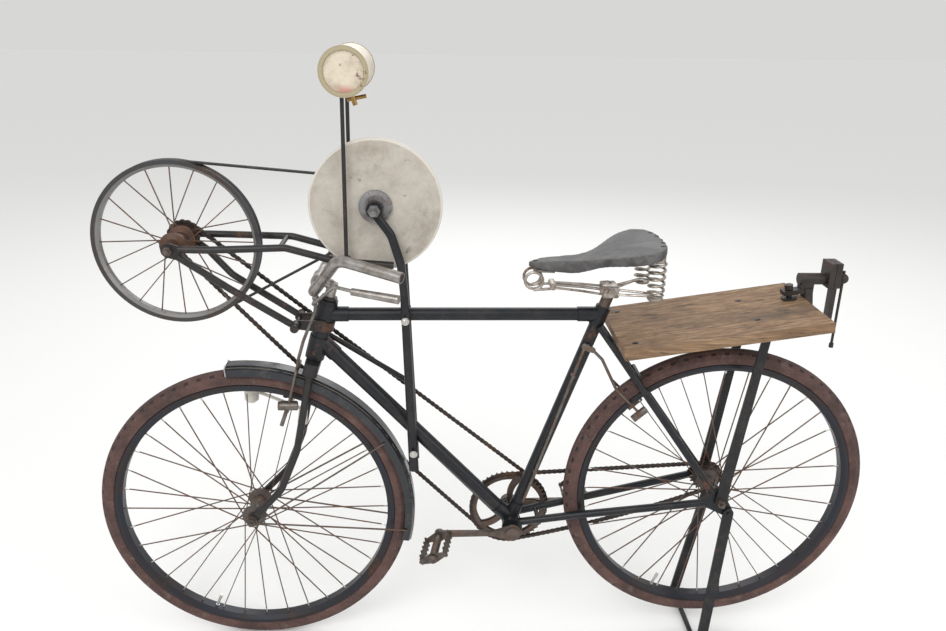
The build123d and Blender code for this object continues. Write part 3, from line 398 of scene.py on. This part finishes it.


# the near black colour given for the pits, also laid in the rib grooves, is painted shade
tyreLook = {"dark": (0.046, 0.025, 0.022), "light": (0.118, 0.060, 0.050), "dust": (0.20, 0.15, 0.125),
            "dustiness": 0.35, "shadedPit": (0.012, 0.010, 0.010), "sectionRadius": 0.3366,
            "pits": 72, "pitShift": 40.0, "pitRow": (0.65, 1.01, 0.03), "pitLength": (0.12, 0.46, 0.02),
            "ribPitch": 0.0042, "ribsFade": (0.36, 0.42)}
wheelLook = {"rim": (0.022, 0.025, 0.034), "rimStain": (0.028, 0.022, 0.021), "rimInner": 0.304, "patch": 9.0,
             "spoke": (0.11, 0.090, 0.080), "hubTone": (0.095, 0.080, 0.072), "hubReach": 0.034,
             "rustLow": 0.55, "rustHigh": 0.70, "gloss": 0.34, "metal": 0.55}
hubs = {"front": (-0.538, 0.3556), "rear": (0.538, 0.4016), "drive": (-0.655, 0.996)}
for end in ("front", "rear"):
    materials[end + "Tyre"] = makeTyreRubber(end + "Tyre", {**tyreLook, "hub": hubs[end]})
    materials[end + "WheelSteel"] = makeWheelSteel(end + "WheelSteel", {**wheelLook, "hub": hubs[end]})
materials["driveWheelSteel"] = makeWheelSteel("driveWheelSteel", {
    **wheelLook, "hub": hubs["drive"], "rim": (0.060, 0.060, 0.064), "rimStain": (0.050, 0.042, 0.038),
    "rimInner": 0.158, "hubTone": (0.085, 0.048, 0.034), "hubReach": 0.040, "rustLow": 0.54,
    "lip": (0.158, 0.164, 0.0005), "lipTone": (0.30, 0.29, 0.28)})
materials["guardEnamel"] = makeGuard("guardEnamel", {
    "paint": (0.015, 0.017, 0.021), "line": (0.01935, 0.02065, 0.00015), "lineTone": (0.26, 0.23, 0.17),
    "dust": 0.40, "dustColour": (0.12, 0.105, 0.09)})
materials["blockRubber"] = makeTyreRubber("blockRubber", {
    "dark": (0.012, 0.012, 0.012), "light": (0.035, 0.033, 0.032), "dust": (0.09, 0.08, 0.07),
    "dustiness": 0.5})
materials["plankWood"] = makeWood("plankWood", {
    "dark": (0.055, 0.033, 0.020), "mid": (0.205, 0.122, 0.066), "light": (0.42, 0.285, 0.165),
    "stain": (0.075, 0.050, 0.034)})
materials["saddleLeather"] = makeLeather("saddleLeather", {
    "dark": (0.030, 0.029, 0.030), "mid": (0.080, 0.077, 0.076), "worn": (0.165, 0.158, 0.152)})
materials["grindstone"] = makeStone("grindstone", {
    "dark": (0.27, 0.235, 0.195), "mid": (0.42, 0.385, 0.335), "light": (0.55, 0.52, 0.46),
    "mark": (0.12, 0.105, 0.09), "rust": (0.36, 0.24, 0.16), "centre": (-0.239, 1.083), "rimFrom": 0.132,
    "rim": (0.66, 0.63, 0.57)})
materials["brass"] = makeRustySteel("brass", {
    "bare": (0.42, 0.28, 0.10), "stain": (0.17, 0.11, 0.05), "patch": 20.0,
    "rustLow": 0.62, "rustHigh": 0.8, "gloss": 0.35, "metal": 0.9})
materials["canEnamel"] = makeCan("canEnamel", {
    "body": (0.60, 0.53, 0.42), "lid": (0.34, 0.29, 0.18), "red": (0.44, 0.15, 0.12),
    "grime": (0.25, 0.20, 0.14), "lidFrom": 0.0765, "redBelow": 1.335, "redBehind": -0.285,
    "centre": (-0.288, 1.347), "ringPitch": 0.011})

nodeFinish = {
    "frameEnamel": ("head_tube", "bottom_bracket_shell", "top_tube", "down_tube", "seat_tube", "chain_stays",
                    "seat_stays", "rear_dropouts", "grinder_posts", "post_bolts"),
    "standPaint": ("stand", "plank_uprights"),
    "oldChrome": ("handlebar", "stem", "brake_levers"),
    "dullSteel": ("front_brake", "rear_brake", "brake_rods"),
    "brownSteel": ("crankset", "rear_axle", "front_axle", "drive_axle", "saddle_springs", "seat_pillar",
                   "mudguard_stays", "left_pedal", "right_pedal"),
    "greySteel": ("stone_spindle",),
    "darkSteel": ("fork", "drive_upper_stays", "stay_clamp", "drive_lower_stays", "can_rods"),
    "oilyChain": ("rear_chain", "grinder_chain"),
    "viseIron": ("vise_body", "vise_jaw"),
    "driveWheelSteel": ("drive_wheel",),
    "frontWheelSteel": ("front_wheel",),
    "rearWheelSteel": ("rear_wheel",),
    "frontTyre": ("front_tyre",),
    "rearTyre": ("rear_tyre",),
    "blockRubber": ("front_brake_blocks", "belt"),
    "guardEnamel": ("front_mudguard",),
    "whitePaint": ("dynamo",),
    "grindstone": ("stone",),
    "canEnamel": ("water_can",),
    "brass": ("water_tap",),
    "saddleLeather": ("saddle_top",),
    "plankWood": ("plank",),
}


def coat(thing, title):
    thing.data.materials.clear()
    thing.data.materials.append(materials[title])


for title, names in nodeFinish.items():
    for name in names:
        coat(nodes[name], title)
print("finishes on the frame")


def addTurned(mesh, outline, place, axis, steps):
    # spins an outline of (distance along the axis, radius), all in metres
    before = set(mesh.verts)
    line = [mesh.verts.new((radius, 0, along)) for along, radius in outline]
    edges = [mesh.edges.new(pair) for pair in zip(line, line[1:])]
    bmesh.ops.spin(mesh, geom=line + edges, cent=(0, 0, 0), axis=(0, 0, 1), angle=2 * math.pi, steps=steps,
                   use_merge=True)
    made = [vert for vert in mesh.verts if vert not in before]
    bmesh.ops.remove_doubles(mesh, verts=made, dist=1e-6)
    made = [vert for vert in mesh.verts if vert not in before]
    turn = Vector(axis).to_track_quat("Z", "Y").to_matrix().to_4x4()
    bmesh.ops.transform(mesh, matrix=Matrix.Translation(place) @ turn, verts=made)


def edgesOf(verts):
    # each edge once, in the same order on every run
    return list(dict.fromkeys(edge for vert in verts for edge in vert.link_edges))


def addBar(mesh, points, radius, sides=8):
    # a round bar through the points, with both ends closed
    points = [Vector(point) for point in points]
    rings = []
    for place, point in enumerate(points):
        ahead = points[min(place + 1, len(points) - 1)] - points[max(place - 1, 0)]
        side = Vector((0, 0, 1)).cross(ahead)
        side = side.normalized() if side.length > 1e-9 else Vector((0, 1, 0))
        up = ahead.normalized().cross(side)
        turn = Matrix((side, up, ahead.normalized())).transposed().to_4x4()
        made = bmesh.ops.create_circle(mesh, cap_ends=False, segments=sides, radius=radius,
                                       matrix=Matrix.Translation(point) @ turn)
        rings.append(edgesOf(made["verts"]))
    for first, second in zip(rings, rings[1:]):
        bmesh.ops.bridge_loops(mesh, edges=first + second)
    bmesh.ops.holes_fill(mesh, edges=rings[0] + rings[-1], sides=sides)


def addBlock(mesh, low, high, bevel):
    size = [top - base for base, top in zip(low, high)]
    middle = [(top + base) / 2 for base, top in zip(low, high)]
    place = Matrix.Translation(middle) @ Matrix.Diagonal((*size, 1.0))
    made = bmesh.ops.create_cube(mesh, size=1.0, matrix=place)
    bmesh.ops.bevel(mesh, geom=edgesOf(made["verts"]), offset=bevel, offset_type="OFFSET", segments=2,
                    profile=0.5, affect="EDGES", material=-1)


sharpFrom = 35  # degrees between faces at which an edge stays sharp


def makePiece(mesh, title, finish, body, replaced=()):
    bmesh.ops.recalc_face_normals(mesh, faces=mesh.faces)
    data = bpy.data.meshes.new(title)
    mesh.to_mesh(data)
    mesh.free()
    data.materials.append(materials[finish])
    data.shade_smooth()
    data.set_sharp_from_angle(angle=math.radians(sharpFrom))
    thing = bpy.data.objects.new(title, data)
    bpy.context.scene.collection.objects.link(thing)
    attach(thing, body)
    if replaced:
        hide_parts(*replaced)
    return thing


# domed nuts on the near ends of the post bolts
domedNuts = {"reach": 0.0065, "radius": 0.0085, "sink": 0.0005, "places": ((-0.182, 0.840), (-0.168, 0.521))}


def makeDomedNuts(look):
    mesh = bmesh.new()
    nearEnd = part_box("post_bolts")[0].y
    high = look["reach"]
    wide = look["radius"]
    for along, up in look["places"]:
        outline = [(0, 0), (0, wide), (high * 0.35, wide), (high * 0.35, wide * 0.82),
                   (high * 0.62, wide * 0.74), (high * 0.86, wide * 0.45), (high, 0)]
        addTurned(mesh, outline, (along, nearEnd + look["sink"], up), (0, -1, 0), 24)
    makePiece(mesh, "domedNuts", "brightSteel", "frame")


makeDomedNuts(domedNuts)

# spoke nipples and a valve on each road wheel; angles in degrees
wheelTrim = {"spokes": 36, "rim": 0.3058, "hub": 0.024, "hubSide": 0.026, "lap": 58.0, "nipple": 0.0021,
             "long": 0.011, "valveTurn": 247.0, "valveLong": 0.034, "valveFoot": 0.0045, "valveStem": 0.003,
             "valveCap": 0.004, "valveTip": 0.0036}


def makeWheelTrim(look, end, body):
    mesh = bmesh.new()
    centre = Vector((hubs[end][0], 0, hubs[end][1]))
    for number in range(look["spokes"]):
        turn = look["lap"] if number % 4 < 2 else -look["lap"]
        side = -1 if number % 2 == 0 else 1
        atRim = math.radians(number * 360 / look["spokes"])
        atHub = math.radians(number * 360 / look["spokes"] + turn)
        outer = Vector((math.cos(atRim), 0, math.sin(atRim))) * look["rim"]
        inner = Vector((look["hub"] * math.cos(atHub), side * look["hubSide"], look["hub"] * math.sin(atHub)))
        outline = [(0, 0), (0, look["nipple"]), (look["long"] * 0.8, look["nipple"] * 0.9),
                   (look["long"], look["nipple"] * 0.75), (look["long"], 0)]
        addTurned(mesh, outline, centre + outer, inner - outer, 6)
    turn = math.radians(look["valveTurn"])
    out = Vector((math.cos(turn), 0, math.sin(turn)))
    long, foot, stem = look["valveLong"], look["valveFoot"], look["valveStem"]
    outline = [(0, 0), (0, foot), (0.003, foot), (0.003, stem), (long * 0.7, stem),
               (long * 0.7, look["valveCap"]), (long, look["valveTip"]), (long, 0)]
    addTurned(mesh, outline, centre + out * look["rim"], -out, 12)
    makePiece(mesh, end + "WheelTrim", "brightSteel", body)


makeWheelTrim(wheelTrim, "front", "front_wheel")
makeWheelTrim(wheelTrim, "rear", "rear_wheel")
print("nuts, nipples and valves on")

# the mudguard's rolled front edge: outline gives the drop from the crown and the half width
guardEdge = {"radius": 0.372, "turn": 96.0, "wire": 0.0016,
             "outline": ((0.022, 0.0265), (0.006, 0.0245), (0.0005, 0.014), (0.0005, 0.0))}


def makeGuardEdge(look):
    mesh = bmesh.new()
    turn = math.radians(look["turn"])
    out = Vector((math.cos(turn), 0, math.sin(turn)))
    centre = Vector((hubs["front"][0], 0, hubs["front"][1]))
    line = [centre + out * (look["radius"] - drop) + Vector((0, -side, 0)) for drop, side in look["outline"]]
    line += [Vector((point.x, -point.y, point.z)) for point in reversed(line[:-1])]
    addBar(mesh, line, look["wire"])
    makePiece(mesh, "guardEdge", "brightSteel", "steering")


makeGuardEdge(guardEdge)

# saddle leather with soft edges, pressed over its rivets
saddle = {"voxel": 0.0035, "rounds": 7, "rivet": 0.0055,
          "rivets": ((0.092, 0.0, 0.975), (0.350, -0.055, 1.000), (0.356, -0.028, 1.002),
                     (0.358, 0.0, 1.003), (0.356, 0.028, 1.002), (0.350, 0.055, 1.000))}


def makeSaddle(look):
    mesh = bmesh.new()
    mesh.from_mesh(nodes["saddle_top"].data)
    bmesh.ops.remove_doubles(mesh, verts=mesh.verts, dist=1e-5)
    draftData = bpy.data.meshes.new("saddleDraft")
    mesh.to_mesh(draftData)
    mesh.free()
    draft = bpy.data.objects.new("saddleDraft", draftData)
    bpy.context.scene.collection.objects.link(draft)
    remesh = draft.modifiers.new("remesh", "REMESH")
    remesh.mode = "VOXEL"
    remesh.voxel_size = look["voxel"]
    ease = draft.modifiers.new("ease", "SMOOTH")
    ease.iterations = look["rounds"]
    ready = draft.evaluated_get(bpy.context.evaluated_depsgraph_get())
    eased = bmesh.new()
    eased.from_mesh(ready.data)
    leather = makePiece(eased, "saddleLeather", "saddleLeather", "frame", ("saddle_top",))
    bpy.data.objects.remove(draft)
    studs = bmesh.new()
    wide = look["rivet"]
    outline = [(-0.002, 0), (-0.002, wide), (0.0002, wide), (0.0010, wide * 0.8), (0.0016, wide * 0.4),
               (0.0018, 0)]
    for target in look["rivets"]:
        _, spot, normal, _ = leather.closest_point_on_mesh(Vector(target))
        addTurned(studs, outline, spot, normal, 16)
    makePiece(studs, "saddleRivets", "darkSteel", "frame")


makeSaddle(saddle)

# saddle clamp, rails and wound springs, in place of the plain blocks
seat = {
    "clamp": (0.2567, 0.897), "clampHalf": (0.017, 0.026), "clampLow": 0.013, "clampHigh": 0.012,
    "clampBevel": 0.003, "clampBolt": (0.0055, 0.036), "nutSide": 0.0275, "nutRadius": 0.0105,
    "nutThick": 0.008, "bolt": (0.133, 0.908), "noseBolt": (0.0075, 0.020),
    "rail": 0.0028, "rails": ((0.010, 0.004, 0.0), (0.016, -0.005, 0.008)),  # across, drop and spread
    "noseCoil": (0.091, 0.921), "noseRadius": 0.019, "noseWire": 0.0033, "noseSide": (0.0065, 0.0205),
    "rearCoil": (0.342, 0.060), "rearRadius": 0.016, "rearWire": 0.0030, "rearLow": 0.903,
    "rearHigh": 0.974, "turns": 5,
    "cups": ((0.893, 0.900, 0.017), (0.975, 0.992, 0.015)),  # low, high, radius
}


def helixPoints(centre, radius, start, end, turns, upright, steps=14):
    # points of a wound wire, upright or lying across the saddle
    points = []
    for number in range(int(turns * steps) + 1):
        angle = 2 * math.pi * number / steps
        share = number / (turns * steps)
        along = start + (end - start) * share
        if upright:
            points.append((centre[0] + radius * math.cos(angle), centre[1] + radius * math.sin(angle), along))
        else:
            points.append((centre[0] - radius * math.sin(angle), along, centre[1] - radius * math.cos(angle)))
    return points


def makeSeatSprings(look):
    mesh = bmesh.new()
    clampX, clampZ = look["clamp"]
    boltX, boltZ = look["bolt"]
    coilX, coilY = look["rearCoil"]
    halfX, halfY = look["clampHalf"]
    addBlock(mesh, (clampX - halfX, -halfY, clampZ - look["clampLow"]),
             (clampX + halfX, halfY, clampZ + look["clampHigh"]), look["clampBevel"])
    bolts = ((look["clampBolt"], clampX, clampZ, 14), (look["noseBolt"], boltX, boltZ, 16))
    for (radius, half), along, up, steps in bolts:
        outline = [(0, 0), (0, radius), (half * 2, radius), (half * 2, 0)]
        addTurned(mesh, outline, (along, -half, up), (0, 1, 0), steps)
    wide, thick = look["nutRadius"], look["nutThick"]
    nut = [(0, 0), (0, wide), (thick - 0.001, wide), (thick, wide - 0.0015), (thick, 0)]
    for side in (-1, 1):
        addTurned(mesh, nut, (clampX, side * look["nutSide"], clampZ), (0, side, 0), 6)
    for side in (-1, 1):
        for across, drop, spread in look["rails"]:
            addBar(mesh, [
                (boltX, side * across, boltZ + drop / 2),
                ((boltX + clampX) / 2, side * (across + 0.001), (boltZ + clampZ) / 2 + drop * 0.8),
                (clampX - 0.02, side * (across + 0.003), clampZ + drop),
                (clampX + 0.02, side * (across + 0.008), clampZ + drop),
                (coilX - 0.02, side * (coilY - 0.016 + spread), 0.9035 - spread / 2),
                (coilX, side * (coilY - 0.010 + spread), 0.903 - spread / 2)], look["rail"])
        noseX = look["noseCoil"][0]
        inner, outer = (side * across for across in look["noseSide"])
        # the wire comes down from the leather, skips its first half turn, winds and ends on the bolt
        wound = helixPoints(look["noseCoil"], look["noseRadius"], inner, outer, 2, False)[7:]
        addBar(mesh, [(noseX + 0.045, inner, 0.938), (noseX + 0.015, inner, 0.9395), *wound,
                      (boltX - 0.004, side * 0.0185, boltZ - 0.004)], look["noseWire"])
        wound = helixPoints((coilX, side * coilY), look["rearRadius"], look["rearLow"], look["rearHigh"],
                            look["turns"], True)
        addBar(mesh, wound, look["rearWire"])
        for low, high, wide in look["cups"]:
            cup = [(0, 0), (0, wide - 0.002), (0.002, wide), (high - low - 0.002, wide),
                   (high - low, wide - 0.002), (high - low, 0)]
            addTurned(mesh, cup, (coilX, side * coilY, low), (0, 0, 1), 20)
    makePiece(mesh, "seatSprings", "springSteel", "frame", ("saddle_springs",))


makeSeatSprings(seat)
print("saddle dressed")

# open ends of the handlebar: a lip round a dark disc, painted shade standing in for the hollow inside the
# tube
barEnds = {"end": (-0.178, 0.247, 1.000), "start": (-0.300, 0.184, 1.016), "lip": 0.0098, "mouth": 0.0082}


def makeBarEnds(look):
    lips = bmesh.new()
    shadeDiscs = bmesh.new()
    hole = look["mouth"]
    lip = [(0, hole), (0, look["lip"]), (0.0007, look["lip"] - 0.0004), (0.0007, hole + 0.0003), (0, hole)]
    mouth = [(-0.001, 0), (-0.001, hole), (0.0002, hole), (0.0001, hole * 0.5), (0.0001, 0)]
    for side in (-1, 1):
        end = Vector((look["end"][0], side * look["end"][1], look["end"][2]))
        start = Vector((look["start"][0], side * look["start"][1], look["start"][2]))
        out = (end - start).normalized()
        addTurned(lips, lip, end, out, 28)
        # each end gets a dark disc in the oily chain finish: painted shade where the tube is hollow
        addTurned(shadeDiscs, mouth, end, out, 28)
    makePiece(lips, "barLips", "oldChrome", "steering")
    makePiece(shadeDiscs, "barMouthShade", "oilyChain", "steering")


makeBarEnds(barEnds)

# coach bolts through the plank, at its front corners and over its uprights
plankBolts = {"places": ((0.566, -0.060), (0.566, 0.060), (0.300, -0.095), (0.300, 0.095)), "frontX": 0.270,
              "frontZ": 0.8060, "slope": 0.14767, "radius": 0.0075, "high": 0.0028, "sink": 0.0005}


def makePlankBolts(look):
    mesh = bmesh.new()
    wide, high = look["radius"], look["high"]
    head = [(-0.001, 0), (-0.001, wide), (high * 0.3, wide * 0.96), (high * 0.8, wide * 0.6), (high, 0)]
    for along, across in look["places"]:
        top = look["frontZ"] + (along - look["frontX"]) * look["slope"]
        addTurned(mesh, head, (along, across, top - look["sink"]), (-look["slope"], 0, 1), 18)
    makePiece(mesh, "plankBolts", "darkSteel", "frame")


makePlankBolts(plankBolts)
print("bar ends and plank bolts on")

# plain pale floor and soft lamps
studio = {
    "floorSize": 30.0,
    "floorColour": (0.80, 0.80, 0.79),
    "floorRough": 0.9,
    "worldStrength": 0.85,
    "skySeen": (0.68, 0.68, 0.67),
    "aim": (0, 0, 0.7),
    "lamps": [
        {"name": "keyLamp", "place": (-1.6, -3.2, 3.6), "size": 2.6, "power": 95.0},
        {"name": "fillLamp", "place": (3.0, -2.0, 2.6), "size": 3.0, "power": 40.0},
        {"name": "backLamp", "place": (0.4, 3.2, 3.4), "size": 3.0, "power": 60.0},
    ],
}


def buildStudio(look):
    sheet = bmesh.new()
    bmesh.ops.create_grid(sheet, x_segments=1, y_segments=1, size=look["floorSize"])
    data = bpy.data.meshes.new("floor")
    sheet.to_mesh(data)
    sheet.free()
    floor = bpy.data.objects.new("floor", data)
    bpy.context.scene.collection.objects.link(floor)
    pale = bpy.data.materials.new("paleFloor")
    pale.use_nodes = True
    shader = pale.node_tree.nodes["Principled BSDF"]
    shader.inputs["Base Color"].default_value = (*look["floorColour"], 1.0)
    shader.inputs["Roughness"].default_value = look["floorRough"]
    data.materials.append(pale)
    world = bpy.data.worlds.new("studio")
    world.use_nodes = True
    sky = world.node_tree.nodes["Background"]
    sky.inputs["Color"].default_value = (1.0, 1.0, 1.0, 1.0)
    sky.inputs["Strength"].default_value = look["worldStrength"]
    seen = world.node_tree.nodes.new("ShaderNodeBackground")  # what the camera sees above the floor
    seen.inputs["Color"].default_value = (*look["skySeen"], 1.0)
    rays = world.node_tree.nodes.new("ShaderNodeLightPath")
    either = world.node_tree.nodes.new("ShaderNodeMixShader")
    join = world.node_tree.links.new
    join(rays.outputs["Is Camera Ray"], either.inputs[0])
    join(sky.outputs[0], either.inputs[1])
    join(seen.outputs[0], either.inputs[2])
    join(either.outputs[0], world.node_tree.nodes["World Output"].inputs["Surface"])
    bpy.context.scene.world = world
    for lamp in look["lamps"]:
        glow = bpy.data.lights.new(lamp["name"], "AREA")
        glow.size = lamp["size"]
        glow.energy = lamp["power"]
        holder = bpy.data.objects.new(lamp["name"], glow)
        bpy.context.scene.collection.objects.link(holder)
        holder.location = lamp["place"]
        aim = Vector(look["aim"]) - Vector(lamp["place"])
        holder.rotation_euler = aim.to_track_quat("-Z", "Y").to_euler()


buildStudio(studio)
bpy.context.scene.view_settings.view_transform = "Standard"
print("studio lit")
